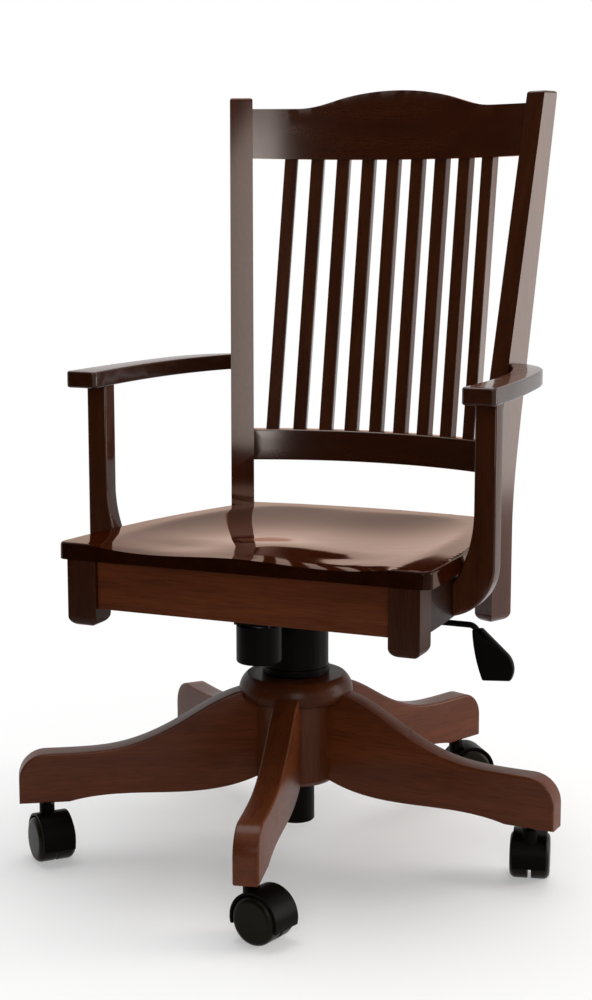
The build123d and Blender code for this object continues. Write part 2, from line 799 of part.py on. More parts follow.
with BuildPart() as seat:
    add(seat_blank.part.moved(seat_bottom.location))
    for y, half, hollow, middle in scoop_stations:
        seat_face = (0, y, seat_bottom_z(y) + seat_thickness)
        with BuildSketch(Plane(seat_face, x_dir=(1, 0, 0), z_dir=(0, -1, slope))):
            with BuildLine():
                bed = Spline(
                    (-half, scoop_lip),
                    (-half * scoop_hollow_share, -hollow),
                    (0, -middle),
                    (half * scoop_hollow_share, -hollow),
                    (half, scoop_lip),
                )
                Polyline(bed @ 1, (half, seat_thickness), (-half, seat_thickness), bed @ 0)
            make_face()
    loft(mode=Mode.SUBTRACT)
    add(right_back_post.part, mode=Mode.SUBTRACT)
    add(left_back_post.part, mode=Mode.SUBTRACT)
    add(seat_screws.part, mode=Mode.SUBTRACT)
seat.part.label = "seat"
export_step(seat.part, "parts/seat.step")

# Front feet, square with rounded ends
with BuildPart() as right_front_foot:
    with BuildSketch(Plane.XY.offset(front_foot_bottom_z)):
        with Locations((foot_inner_x + front_foot_size / 2, front_foot_front_y + front_foot_size / 2)):
            Rectangle(front_foot_size, front_foot_size)
    extrude(amount=seat_front_bottom_z - front_foot_bottom_z + seat_thickness)
    fillet(right_front_foot.faces().sort_by(Axis.Z)[0].edges(), foot_round)
    split(bisect_by=seat_bottom, keep=Keep.BOTTOM)
right_front_foot.part.label = "right_front_foot"
export_step(right_front_foot.part, "parts/right_front_foot.step")

with BuildPart() as left_front_foot:
    mirror(right_front_foot.part, about=Plane.YZ)
left_front_foot.part.label = "left_front_foot"
export_step(left_front_foot.part, "parts/left_front_foot.step")

# Aprons under the edge of the seat
apron_height = seat_front_bottom_z - apron_bottom_z + seat_thickness
with BuildPart() as front_apron:
    with BuildSketch(Plane.XY.offset(apron_bottom_z)):
        with Locations((0, front_foot_front_y + front_apron_setback + apron_thickness / 2)):
            Rectangle(2 * foot_inner_x, apron_thickness)
    extrude(amount=apron_height)
    split(bisect_by=seat_bottom, keep=Keep.BOTTOM)
front_apron.part.label = "front_apron"
export_step(front_apron.part, "parts/front_apron.step")

apron_x = front_foot_outer_x - side_apron_setback
apron_end = post_point(back_post_front_r + apron_thickness, back_post_width - apron_end_cover)
with BuildPart() as right_side_apron:
    with BuildSketch(Plane.XY.offset(apron_bottom_z)):
        with BuildLine():
            outer = TangentArc((apron_x, foot_rear_y), apron_end, tangent=(0, 1))
            inner = TangentArc(
                (apron_x - apron_thickness, foot_rear_y),
                (apron_end[0] - apron_thickness, apron_end[1]),
                tangent=(0, 1),
            )
            Line(outer @ 0, inner @ 0)
            Line(outer @ 1, inner @ 1)
        make_face()
    extrude(amount=apron_height)
    split(bisect_by=seat_bottom, keep=Keep.BOTTOM)
    add(right_back_post.part, mode=Mode.SUBTRACT)
right_side_apron.part.label = "right_side_apron"
export_step(right_side_apron.part, "parts/right_side_apron.step")

with BuildPart() as left_side_apron:
    mirror(right_side_apron.part, about=Plane.YZ)
left_side_apron.part.label = "left_side_apron"
export_step(left_side_apron.part, "parts/left_side_apron.step")

rear_apron_half = post_point(back_post_front_r + apron_thickness, back_post_width / 2)[0]
with BuildPart() as rear_apron:
    with BuildSketch(Plane.XY.offset(apron_bottom_z)):
        with Locations((0, rear_apron_y + apron_thickness / 2)):
            Rectangle(2 * rear_apron_half, apron_thickness)
    extrude(amount=apron_height)
    split(bisect_by=seat_bottom, keep=Keep.BOTTOM)
    add(right_back_post.part, mode=Mode.SUBTRACT)
    add(left_back_post.part, mode=Mode.SUBTRACT)
rear_apron.part.label = "rear_apron"
export_step(rear_apron.part, "parts/rear_apron.step")

# Straight slats, set parallel across the bowed back
slat_bottom_z = lower_rail_top_z - slat_tenon
slat_top_z = crest_bottom_z + slat_tenon
slat_setback = rail_setback + rail_thickness / 2
slat_foot_r = back_front_radius(slat_bottom_z) + slat_setback
slat_head_r = back_front_radius(slat_top_z) + slat_setback
with BuildPart() as back_slats:
    for i in range(slat_count):
        x = (i - (slat_count - 1) / 2) * slat_pitch
        turn = asin(2 * x / (slat_foot_r + slat_head_r))
        foot = Vector(x, back_axis_y + sqrt(slat_foot_r**2 - x**2), slat_bottom_z)
        head = Vector(x, back_axis_y + sqrt(slat_head_r**2 - x**2), slat_top_z)
        with BuildSketch(Plane(foot, x_dir=(cos(turn), -sin(turn), 0), z_dir=head - foot)):
            Rectangle(slat_width, slat_depth)
        extrude(amount=(head - foot).length)
back_slats.part.label = "back_slats"
export_step(back_slats.part, "parts/back_slats.step")

# Bowed rails between the posts: the lower rail and the humped crest
rail_depth = rail_thickness / cos(radians(back_rake))
lower_front_r = back_front_radius(lower_rail_bottom_z) + rail_setback
upper_front_r = back_front_radius(lower_rail_top_z) + rail_setback
with BuildPart() as lower_rail:
    with BuildSketch(rail_plane):
        with BuildLine():
            Polyline(
                (lower_front_r, lower_rail_bottom_z),
                (upper_front_r, lower_rail_top_z),
                (upper_front_r + rail_depth, lower_rail_top_z),
                (lower_front_r + rail_depth, lower_rail_bottom_z),
                close=True,
            )
        make_face()
    revolve(axis=back_axis, revolution_arc=2 * back_post_angle)
    fillet(lower_rail.edges().filter_by(GeomType.CIRCLE), rail_edge_round)
    add(back_slats.part, mode=Mode.SUBTRACT)
lower_rail.part.label = "lower_rail"
export_step(lower_rail.part, "parts/lower_rail.step")

crest_low_z = crest_bottom_z - crest_sag
crest_low_r = back_front_radius(crest_low_z) + rail_setback
crest_high_r = back_front_radius(crest_peak_z) + rail_setback
with BuildPart() as crest_rail:
    with BuildSketch(rail_plane):
        with BuildLine():
            Polyline(
                (crest_low_r, crest_low_z),
                (crest_high_r, crest_peak_z),
                (crest_high_r + rail_depth, crest_peak_z),
                (crest_low_r + rail_depth, crest_low_z),
                close=True,
            )
        make_face()
    revolve(axis=back_axis, revolution_arc=2 * back_post_angle)
    with BuildSketch(Plane.XZ):
        with BuildLine():
            crown = Spline(
                (-crest_hump_half, crest_end_z),
                (-crest_shoulder_x, crest_shoulder_z),
                (0, crest_peak_z),
                (crest_shoulder_x, crest_shoulder_z),
                (crest_hump_half, crest_end_z),
                tangents=[(1, 0), (1, 0)],
            )
            Polyline(
                crown @ 1,
                (seat_front_half_width, crest_end_z),
                (seat_front_half_width, crest_bottom_z),
            )
            ThreePointArc(
                (seat_front_half_width, crest_bottom_z),
                (0, crest_low_z),
                (-seat_front_half_width, crest_bottom_z),
            )
            Polyline(
                (-seat_front_half_width, crest_bottom_z),
                (-seat_front_half_width, crest_end_z),
                crown @ 0,
            )
        make_face()
    extrude(amount=-2 * back_post_front_r, mode=Mode.INTERSECT)
    add(back_slats.part, mode=Mode.SUBTRACT)
crest_rail.part.label = "crest_rail"
export_step(crest_rail.part, "parts/crest_rail.step")

# Flat arms, swept in to the back posts
arm_seat = post_point(arm_r + arm_seat_lead, back_post_width)
arm_tail = post_point(arm_r + arm_tail_reach, back_post_width)
with BuildPart() as right_arm:
    with BuildSketch(Plane.XY.offset(arm_bottom_z)):
        with BuildLine():
            Spline(
                (arm_outer_x, arm_front_y),
                *[(arm_outer_x - inset, arm_front_y + back) for inset, back in arm_outer_bow],
                arm_tail,
            )
            Polyline(
                arm_tail,
                post_point(arm_r + arm_tail_reach, back_post_width - arm_seat_lap),
                post_point(arm_r + arm_seat_lead, back_post_width - arm_seat_lap),
                arm_seat,
            )
            Spline(
                arm_seat,
                *[(arm_outer_x - arm_width - inset, arm_front_y + back) for inset, back in arm_inner_bow],
                (arm_outer_x - arm_width, arm_front_y),
            )
            Line((arm_outer_x - arm_width, arm_front_y), (arm_outer_x, arm_front_y))
        make_face()
    extrude(amount=arm_thickness)
    fillet(right_arm.edges().filter_by(Axis.Z).group_by(Axis.Y)[0], arm_corner_round)
    fillet(
        right_arm.edges()
        .filter_by(Axis.Z, reverse=True)
        .filter_by(lambda edge: edge.center().X > arm_tail[0] + arm_edge_round),
        arm_edge_round,
    )
    add(right_back_post.part, mode=Mode.SUBTRACT)
    add(arm_bolts.part, mode=Mode.SUBTRACT)
right_arm.part.label = "right_arm"
export_step(right_arm.part, "parts/right_arm.step")

with BuildPart() as left_arm:
    mirror(right_arm.part, about=Plane.YZ)
left_arm.part.label = "left_arm"
export_step(left_arm.part, "parts/left_arm.step")

# J-shaped arm posts, from the underside of the arms to the side aprons
arm_post_inner_x = arm_post_outer_x - arm_post_width
arm_post_foot_x = arm_post_outer_x - arm_post_outer_radius
arm_post_heel = (apron_x - arm_post_lap, arm_post_heel_z)
arm_post_turn_z = arm_post_bottom_z + arm_post_outer_radius
with BuildPart() as right_arm_post:
    with BuildSketch(Plane.XZ.offset(-arm_post_front_y - arm_post_depth)):
        with BuildLine():
            shaft = Line((arm_post_outer_x, arm_bottom_z), (arm_post_outer_x, arm_post_turn_z))
            hook = TangentArc(shaft @ 1, (arm_post_foot_x, arm_post_bottom_z), tangent=(0, -1))
            Polyline(hook @ 1, (arm_post_foot_x, arm_post_heel_z), arm_post_heel)
            crook = TangentArc((arm_post_inner_x, arm_post_inner_start_z), arm_post_heel, tangent=(0, -1))
            Polyline(crook @ 0, (arm_post_inner_x, arm_bottom_z), shaft @ 0)
        make_face()
    extrude(amount=arm_post_depth)
    fillet(
        right_arm_post.edges()
        .filter_by(Axis.Y, reverse=True)
        .filter_by(lambda edge: edge.center().X > apron_x)
        .filter_by(lambda edge: edge.center().Z < arm_bottom_z - arm_post_edge_round),
        arm_post_edge_round,
    )
    add(right_side_apron.part, mode=Mode.SUBTRACT)
    add(seat.part, mode=Mode.SUBTRACT)
right_arm_post.part.label = "right_arm_post"
export_step(right_arm_post.part, "parts/right_arm_post.step")

with BuildPart() as left_arm_post:
    mirror(right_arm_post.part, about=Plane.YZ)
left_arm_post.part.label = "left_arm_post"
export_step(left_arm_post.part, "parts/left_arm_post.step")

# Caster patterns, drawn with the stem at the origin and the wheels trailing to +X
wheel_inner_y = web_thickness / 2 + wheel_gap
wheel_outer_y = wheel_inner_y + wheel_width
hood_radius = wheel_radius + hood_gap + hood_wall
hood_half = wheel_outer_y - hood_reveal
with BuildPart() as fork_pattern:
    with BuildSketch(Plane.XZ):
        with Locations((caster_trail, wheel_radius)):
            Circle(hood_radius)
        with Locations((caster_trail, -hood_skirt)):
            Rectangle(2 * hood_radius, 2 * wheel_radius, mode=Mode.SUBTRACT)
    extrude(amount=hood_half, both=True)
    with BuildSketch(Plane.XY.offset(boss_foot_z)):
        Circle(boss_radius)
    extrude(amount=boss_top_z - boss_foot_z)
    for side in (1, -1):
        with BuildSketch(Plane.XZ.offset(side * web_thickness / 2)):
            with Locations((caster_trail, wheel_radius)):
                Circle(wheel_radius + hood_gap)
        extrude(amount=side * wheel_width, mode=Mode.SUBTRACT)
    with BuildSketch(Plane.XZ):
        with Locations((caster_trail, wheel_radius)):
            Circle(axle_radius)
    extrude(amount=web_thickness / 2, both=True, mode=Mode.SUBTRACT)
    with BuildSketch(Plane.XY.offset(stem_seat_z)):
        Circle(stem_radius)
    extrude(amount=boss_top_z - stem_seat_z, mode=Mode.SUBTRACT)

with BuildPart() as stem_pattern:
    with BuildSketch(Plane.XY.offset(stem_seat_z)):
        Circle(stem_radius)
    extrude(amount=leg_foot_z + socket_depth - stem_seat_z - axial_gap)
    with BuildSketch(Plane.XZ):
        with Locations((caster_trail, wheel_radius)):
            Circle(axle_radius)
    extrude(amount=wheel_inner_y + axle_bite - axial_gap, both=True)

with BuildPart() as wheel_pattern:
    with BuildSketch(Plane.XZ.offset(-wheel_outer_y)):
        with Locations((caster_trail, wheel_radius)):
            Circle(wheel_radius)
    extrude(amount=wheel_width)
    fillet(wheel_pattern.edges().group_by(Axis.Y)[-1], wheel_round)
    with BuildSketch(Plane.XZ.offset(-wheel_inner_y)):
        with Locations((caster_trail, wheel_radius)):
            Circle(axle_radius + pin_clearance)
    extrude(amount=-axle_bite, mode=Mode.SUBTRACT)

# Five casters, each turned its own way under its leg
for number, (angle, trail) in enumerate(zip(leg_angles, caster_trails), 1):
    stem_x = caster_circle * sin(radians(angle))
    stem_y = -caster_circle * cos(radians(angle))
    place = Location((stem_x, stem_y, 0), (0, 0, trail - 90))
    with BuildPart() as caster_fork:
        add(fork_pattern.part.moved(place))
        add(stem_pattern.part.moved(place))
    caster_fork.part.label = f"caster_{number}_fork"
    export_step(caster_fork.part, f"parts/caster_{number}_fork.step")
    with BuildPart() as left_wheel:
        add(wheel_pattern.part.moved(place))
    left_wheel.part.label = f"caster_{number}_wheel_left"
    export_step(left_wheel.part, f"parts/caster_{number}_wheel_left.step")
    with BuildPart() as right_wheel:
        add(mirror(wheel_pattern.part, about=Plane.XZ, mode=Mode.PRIVATE).moved(place))
    right_wheel.part.label = f"caster_{number}_wheel_right"
    export_step(right_wheel.part, f"parts/caster_{number}_wheel_right.step")
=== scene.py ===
# %% [markdown]
# # A lacquered swivel desk chair
# The chair's solids come from CAD, packed as a frame that Blender only dresses.
# Each piece keeps the place that the CAD gave it, in metres, with the floor at
# z = 0 and the sitter facing -Y. This lesson adds what CAD leaves out: eased
# edges, a faired seat, wood grain under lacquer, black plastic, and the soft
# light of a studio.

# %% Load the frame
import json
import math

import bmesh
import bpy
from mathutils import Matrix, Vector


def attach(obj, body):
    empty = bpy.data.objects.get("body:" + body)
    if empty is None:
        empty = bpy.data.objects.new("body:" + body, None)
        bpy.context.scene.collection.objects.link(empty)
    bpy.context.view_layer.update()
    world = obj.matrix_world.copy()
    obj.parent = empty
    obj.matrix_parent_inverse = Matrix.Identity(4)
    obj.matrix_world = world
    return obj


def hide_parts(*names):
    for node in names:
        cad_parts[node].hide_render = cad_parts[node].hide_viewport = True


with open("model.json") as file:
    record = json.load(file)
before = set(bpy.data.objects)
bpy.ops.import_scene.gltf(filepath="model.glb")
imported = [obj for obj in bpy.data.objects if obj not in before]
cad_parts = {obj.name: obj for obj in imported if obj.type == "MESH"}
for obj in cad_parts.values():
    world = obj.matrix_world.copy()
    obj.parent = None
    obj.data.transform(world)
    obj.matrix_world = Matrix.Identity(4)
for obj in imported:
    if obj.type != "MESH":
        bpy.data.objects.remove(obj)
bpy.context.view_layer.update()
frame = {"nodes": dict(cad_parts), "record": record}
scene = bpy.context.scene
scene.view_settings.view_transform = "Standard"

# %% [markdown]
# ## The camera
# The photograph's straight edges fix where the camera stood: 2.4 m away, about
# 23 degrees round from straight ahead, a little above the arms and pitched
# down. A long lens keeps the posts nearly parallel. The pitch is kept as a
# real pitch, so no lens shift is needed and other views stay true.

# %% Camera at the photograph's angle
camera_swing = math.radians(23.43)
camera_pitch = math.radians(9.16)
camera_reach = 2.38898
camera_height = 0.85573
focal_pixels = 1830.04
picture_height_pixels = 1000
sensor_mm = 36

lens = bpy.data.cameras.new("photo_camera")
lens.sensor_width = sensor_mm
lens.lens = focal_pixels * sensor_mm / picture_height_pixels
camera = bpy.data.objects.new("photo_camera", lens)
scene.collection.objects.link(camera)
camera.location = (
    camera_reach * math.sin(camera_swing),
    -camera_reach * math.cos(camera_swing),
    camera_height,
)
camera.rotation_euler = (math.pi / 2 - camera_pitch, 0, camera_swing)
scene.camera = camera
print("lens", round(lens.lens, 2), "mm at", [round(v, 3) for v in camera.location])

# %% [markdown]
# ## Wiring nodes
# A finish in Blender is a small web of nodes, and so is the world's light.
# Clicking them together by hand is slow to repeat, so two short helpers set a
# node's sockets by name and add a node with its sockets set.

# %% Node helpers


def put(node, **values):
    """Set a node's input sockets by name, with _ for a space."""
    for socket, value in values.items():
        node.inputs[socket.replace("_", " ")].default_value = value


def add(tree, kind, **values):
    """A new shader node of a kind, with its input sockets set."""
    node = tree.nodes.new("ShaderNode" + kind)
    put(node, **values)
    return node


print("node helpers:", put.__name__, add.__name__)

# %% [markdown]
# ## The white sweep
# Lacquer is nearly a mirror, so the studio is drawn by what it reflects. A
# white sweep stands all round, and the seat top and the sides of the posts pick
# it up at a shallow angle. A ring of lamps could light it, but the world does it
# without noise: the camera, mirrors and glass see plain white, of strength 1.
# The sweep's light on matt surfaces is weaker and falls off towards the camera,
# so the faces that look at the camera stay deep.

# %% Rays that see the sweep


def seen_directly(tree):
    """One for rays from the camera, from a mirror and through glass, else zero."""
    ray = add(tree, "LightPath")
    total = ray.outputs["Is Camera Ray"]
    for kind in ("Is Glossy Ray", "Is Transmission Ray"):
        either = add(tree, "Math")
        either.operation = "MAXIMUM"
        tree.links.new(total, either.inputs[0])
        tree.links.new(ray.outputs[kind], either.inputs[1])
        total = either.outputs[0]
    return total


print("white rays helper:", seen_directly.__name__)

# %% World
sweep_in_front = 0.05
sweep_behind = 0.6
fade_from_y = -0.5
fade_to_y = 0.6

studio = bpy.data.worlds.new("studio")
scene.world = studio
studio.use_nodes = True
wires = studio.node_tree
wires.nodes.clear()
direction = add(wires, "TexCoord")
parts = add(wires, "SeparateXYZ")
falloff = add(
    wires, "MapRange",
    From_Min=fade_from_y, From_Max=fade_to_y, To_Min=sweep_in_front, To_Max=sweep_behind,
)
falloff.interpolation_type = "SMOOTHSTEP"
strength = add(wires, "Math")
strength.operation = "MAXIMUM"
sweep = add(wires, "Background", Color=(1, 1, 1, 1))
world_out = add(wires, "OutputWorld")
wires.links.new(direction.outputs["Generated"], parts.inputs[0])
wires.links.new(parts.outputs["Y"], falloff.inputs["Value"])
wires.links.new(falloff.outputs["Result"], strength.inputs[0])
wires.links.new(seen_directly(wires), strength.inputs[1])
wires.links.new(strength.outputs[0], sweep.inputs["Strength"])
wires.links.new(sweep.outputs[0], world_out.inputs["Surface"])
print("world:", studio.name, "with", len(wires.nodes), "nodes")

# %% [markdown]
# ## Lamps
# Three soft panels do the modelling. A wide one overhead lights the floor and
# the tops. A tall, slightly warm one on the right gives the pale stripe down
# the posts and slats. A weak one near the camera lifts the front faces, so the
# red of the stain shows. Area lamps suit this, because their size alone sets
# how soft the shadow is.

# %% Soft panels


def panel(name, place, target, width, height, watts, tone=(1, 1, 1)):
    """A soft rectangular lamp at a place, turned to a target."""
    lamp = bpy.data.lights.new(name, "AREA")
    lamp.color = tone
    lamp.shape = "RECTANGLE"
    lamp.size = width
    lamp.size_y = height
    lamp.energy = watts
    holder = bpy.data.objects.new(name, lamp)
    scene.collection.objects.link(holder)
    holder.location = place
    aim = Vector(target) - Vector(place)
    holder.rotation_euler = aim.to_track_quat("-Z", "Y").to_euler()
    return holder


warm_white = (1, 0.91, 0.85)
lamps = [
    panel("overhead_panel", (-0.3, 0.7, 3.1), (0, 0.3, 0.4), width=2.6, height=2.2, watts=70),
    panel(
        "right_panel", (2.8, 1.3, 1.0), (0.2, 0.1, 0.7),
        width=1.5, height=2.0, watts=62, tone=warm_white,
    ),
    panel("camera_panel", (1.55, -3.3, 1.7), (0, 0, 0.7), width=1.3, height=1.7, watts=38),
]
print("lamps:", [lamp.name for lamp in lamps])

# %% [markdown]
# ## The dark drape
# With white all round, lacquer that faces the camera goes grey. Photographers
# hang a dark cloth behind the camera and let it run forward over the floor. The
# same cloth hangs here, out of the camera's sight, swept round the chair from a
# four-point profile. It stops short of the right, where the posts should shine.

# %% New objects and finishes


def new_object(name, form, finish):
    """An object made from a bmesh, with one finish, in the scene."""
    mesh = bpy.data.meshes.new(name)
    form.to_mesh(mesh)
    form.free()
    mesh.materials.append(finish)
    thing = bpy.data.objects.new(name, mesh)
    scene.collection.objects.link(thing)
    return thing


def new_finish(name):
    """A new material with its node tree and its shader."""
    finish = bpy.data.materials.new(name)
    finish.use_nodes = True
    return finish, finish.node_tree, finish.node_tree.nodes["Principled BSDF"]


print("object helpers:", new_object.__name__, new_finish.__name__)

# %% Dark drape behind the camera
# Each point of the profile is a distance from the chair and a height
drape_profile = ((1.5, 0.01), (4.6, 0.01), (5.0, 0.3), (5.0, 5.0))
drape_from = math.radians(-80)
drape_to = math.radians(29)
drape_folds = 60

dark_felt, _, felt = new_finish("dark_felt")
put(felt, Base_Color=(0.03, 0.022, 0.018, 1), Roughness=0.95)
drape_form = bmesh.new()
folds = []
for fold in range(drape_folds + 1):
    swing = drape_from + (drape_to - drape_from) * fold / drape_folds
    line = [(r * math.sin(swing), -r * math.cos(swing), z) for r, z in drape_profile]
    folds.append([drape_form.verts.new(point) for point in line])
for left, right in zip(folds, folds[1:]):
    for low in range(len(drape_profile) - 1):
        corners = (left[low], right[low], right[low + 1], left[low + 1])
        drape_form.faces.new(corners)
drape = new_object("drape", drape_form, dark_felt)
drape.visible_camera = False
print("drape:", len(drape.data.polygons), "faces")

# %% [markdown]
# ## The floor
# The floor is a wide pale disc. Close to the chair it is mostly matt paint that
# takes the shadow, and further out it fades to plain white, so that it meets
# the sweep without an edge. A shadow-catching plane would need a second render,
# so the fade is in the floor's own finish.

# %% Floor
floor_radius = 30
fade_start = 0.25
fade_end = 1.0
least_white = 0.3

pale_floor, wires, paint = new_finish("pale_floor")
put(paint, Base_Color=(0.93, 0.93, 0.93, 1), Roughness=0.85, Specular_IOR_Level=0.2)
where = add(wires, "TexCoord")
reach = add(wires, "VectorMath")
reach.operation = "LENGTH"
fade = add(wires, "MapRange", From_Min=fade_start, From_Max=fade_end, To_Min=least_white)
fade.interpolation_type = "SMOOTHSTEP"
shown = add(wires, "Math")
shown.operation = "MULTIPLY"
white = add(wires, "Emission")
blend = add(wires, "MixShader")
wires.links.new(where.outputs["Object"], reach.inputs[0])
wires.links.new(reach.outputs["Value"], fade.inputs["Value"])
wires.links.new(fade.outputs["Result"], shown.inputs[0])
wires.links.new(seen_directly(wires), shown.inputs[1])
wires.links.new(shown.outputs[0], blend.inputs["Fac"])
wires.links.new(paint.outputs[0], blend.inputs[1])
wires.links.new(white.outputs[0], blend.inputs[2])
wires.links.new(blend.outputs[0], wires.nodes["Material Output"].inputs["Surface"])

floor_form = bmesh.new()
bmesh.ops.create_circle(floor_form, cap_ends=True, segments=96, radius=floor_radius)
floor = new_object("floor", floor_form, pale_floor)
print("floor:", floor_radius, "m, white from", fade_end, "m")

# %% [markdown]
# ## Stained wood
# The wood is a fine, even hardwood with a dark red-brown stain. The grain runs
# along each board, so the finish takes the board's direction and stretches its
# noise that way. Broad bands give the plain-sawn figure and short dark flecks
# give the pores. A picture of veneer would repeat and needs unwrapping, but
# noise in the piece's own coordinates runs on round every edge.

# %% Grain helpers
figure_scale = (0.5, 0.045, 0.045)
pore_scale = (0.03, 0.0016, 0.0016)
dark_stain = (0.070, 0.0160, 0.0042)
light_stain = (0.120, 0.0310, 0.0088)
pore_shade = 0.74


def along_grain(tree, place, turn, scale):
    """The piece's coordinates, with X turned along the grain and stretched."""
    along = add(tree, "Mapping", Rotation=turn, Scale=scale)
    along.vector_type = "TEXTURE"
    tree.links.new(place.outputs["Object"], along.inputs["Vector"])
    return along.outputs["Vector"]


def darken(tree, colour, grey):
    """A colour multiplied by a grey, on the colour sockets of a Mix node."""
    first, second, result = 6, 7, 2
    tint = add(tree, "Mix", Factor=1)
    tint.data_type = "RGBA"
    tint.blend_type = "MULTIPLY"
    tree.links.new(colour, tint.inputs[first])
    tree.links.new(grey, tint.inputs[second])
    return tint.outputs[result]


def figure(tree, place, turn, shade):
    """Broad bands of darker and lighter stain."""
    bands = add(tree, "TexNoise", Scale=1.6, Detail=5, Roughness=0.55, Distortion=0.6)
    tree.links.new(along_grain(tree, place, turn, figure_scale), bands.inputs["Vector"])
    stain = add(tree, "ValToRGB")
    dark, light = stain.color_ramp.elements
    dark.position = 0.3
    dark.color = tuple(shade * c for c in dark_stain) + (1,)
    light.position = 0.72
    light.color = tuple(shade * c for c in light_stain) + (1,)
    tree.links.new(bands.outputs["Fac"], stain.inputs["Fac"])
    return stain.outputs["Color"]


def pores(tree, place, turn):
    """Short fine streaks along the grain."""
    streaks = add(tree, "TexNoise", Scale=1, Detail=2)
    tree.links.new(along_grain(tree, place, turn, pore_scale), streaks.inputs["Vector"])
    return streaks.outputs["Fac"]


print("grain helpers:", figure.__name__, pores.__name__)

# %% [markdown]
# ## Painted shade on the edges
# The seat and the arms have pale, shining tops and nearly black edges, where
# the edges lie in shade. That shade is painted into the stain: faces that no
# longer look up are painted darker. Painting a mask would do, but the direction
# that a surface faces says the same, so edges are found by it.

# %% Wood stain and painted edge shade
edge_facing = 0.8
top_facing = 0.97


def paint_shade_on_edges(tree, place, colour, edge_shade):
    """Paint shade into a colour where the surface no longer faces up."""
    facing = add(tree, "SeparateXYZ")
    tree.links.new(place.outputs["Normal"], facing.inputs[0])
    painted_shade = add(
        tree, "MapRange",
        From_Min=edge_facing, From_Max=top_facing, To_Min=edge_shade, To_Max=1.0,
    )
    tree.links.new(facing.outputs["Z"], painted_shade.inputs["Value"])
    return darken(tree, colour, painted_shade.outputs["Result"])


def stained(name, turn, shade, edge_shade=1.0):
    """Wood stained to a shade, with its grain along X after a turn, and painted shade on its edges
    when edge_shade is below 1.
    """
    finish, tree, skin = new_finish(name)
    place = add(tree, "TexCoord")
    streaks = pores(tree, place, turn)
    flecks = add(tree, "MapRange", From_Min=0.34, From_Max=0.56, To_Min=pore_shade, To_Max=1.0)
    tree.links.new(streaks, flecks.inputs["Value"])
    colour = darken(tree, figure(tree, place, turn, shade), flecks.outputs["Result"])
    # painted shade: faces that no longer look up are made darker
    if edge_shade != 1.0:
        colour = paint_shade_on_edges(tree, place, colour, edge_shade)
    tree.links.new(colour, skin.inputs["Base Color"])

    gloss = add(tree, "MapRange", To_Min=0.5, To_Max=0.36)
    gloss.name = "gloss"
    tree.links.new(streaks, gloss.inputs["Value"])
    tree.links.new(gloss.outputs["Result"], skin.inputs["Roughness"])
    ripple = add(tree, "Bump", Strength=0.06, Distance=0.0004)
    ripple.name = "ripple"
    tree.links.new(streaks, ripple.inputs["Height"])
    tree.links.new(ripple.outputs["Normal"], skin.inputs["Normal"])
    put(skin, Specular_IOR_Level=0.05, Coat_IOR=1.45)
    return finish


print("stain helpers:", paint_shade_on_edges.__name__, stained.__name__)

# %% [markdown]
# ## Lacquer, and a glaze with painted warm light
# Most boards carry a clear lacquer, which the shader's coat gives: how much of
# it there is and how rough it is. The seat, the rails and the left post shine
# warmer than clear lacquer does, in the colour of a warm studio light, and that
# warm light is painted into their finish. A coat tints what lies under it but
# not its own shine. So here the board itself is polished, and a film that hardly
# reflects lies on top and paints the warm light into it and its shine.

# %% Lacquer, and a glaze with painted warm light
film_ior = 1.02
gloss_spread = 0.01


def lacquer(finish, coat, rough=0.05):
    """Lay a clear coat on a stained wood."""
    put(finish.node_tree.nodes["Principled BSDF"], Coat_Weight=coat, Coat_Roughness=rough)
    return finish


def glaze_with_painted_warm_light(finish, shine, tint, rough, film_rough):
    """Polish a stained wood and lay a film over it whose tint paints warm light into its shine."""
    nodes = finish.node_tree.nodes
    put(nodes["gloss"], To_Min=rough + gloss_spread, To_Max=rough - gloss_spread)
    put(nodes["ripple"], Strength=0)
    skin = nodes["Principled BSDF"]
    put(skin, Specular_IOR_Level=shine, Coat_Weight=1, Coat_Roughness=film_rough)
    # the coat tint is painted warm light
    put(skin, Coat_IOR=film_ior, Coat_Tint=tint + (1,))
    return finish


print("lacquer helpers:", lacquer.__name__, glaze_with_painted_warm_light.__name__)

# %% Wood finishes
# One stain serves every board. The shade given to each board paints the light and shade that fall
# on it: lighter for the aprons, hub and legs, darker for the seat, ring, rails, posts, slats and
# arms.
across = (0, 0, 0)
deep = (0, 0, math.pi / 2)
upright = (0, -math.pi / 2, 0)

# edge_shade paints shade on the seat's edges
seat_stain = stained("seat_wood", deep, shade=0.33, edge_shade=0.5)
# painted warm light in the seat's shine
seat_wood = glaze_with_painted_warm_light(
    seat_stain, shine=0.062, tint=(1, 0.90, 0.84), rough=0.06, film_rough=0.05
)
apron_wood = lacquer(stained("apron_wood", across, shade=1.05), coat=0.12, rough=0.2)
hub_wood = lacquer(stained("hub_wood", upright, shade=0.9), coat=0.2, rough=0.2)
ring_wood = lacquer(stained("ring_wood", across, shade=0.55), coat=0.12, rough=0.2)
# painted shadow: the side aprons are nearly black for the shade under the seat
side_painted_shade_wood = lacquer(stained("side_apron_painted_shade_wood", deep, shade=0.12), coat=0.08)
# painted shade: the feet are dark for the shade on their faces
foot_painted_shade_wood = lacquer(stained("foot_painted_shade_wood", upright, shade=0.35), coat=0.08, rough=0.2)
rail_stain = stained("rail_wood", across, shade=0.45)
# painted warm light in the shine of the rails
rail_wood = glaze_with_painted_warm_light(
    rail_stain, shine=0.75, tint=(1, 0.89, 0.83), rough=0.18, film_rough=0.18
)
post_wood = lacquer(stained("post_wood", upright, shade=0.6), coat=0.7, rough=0.12)
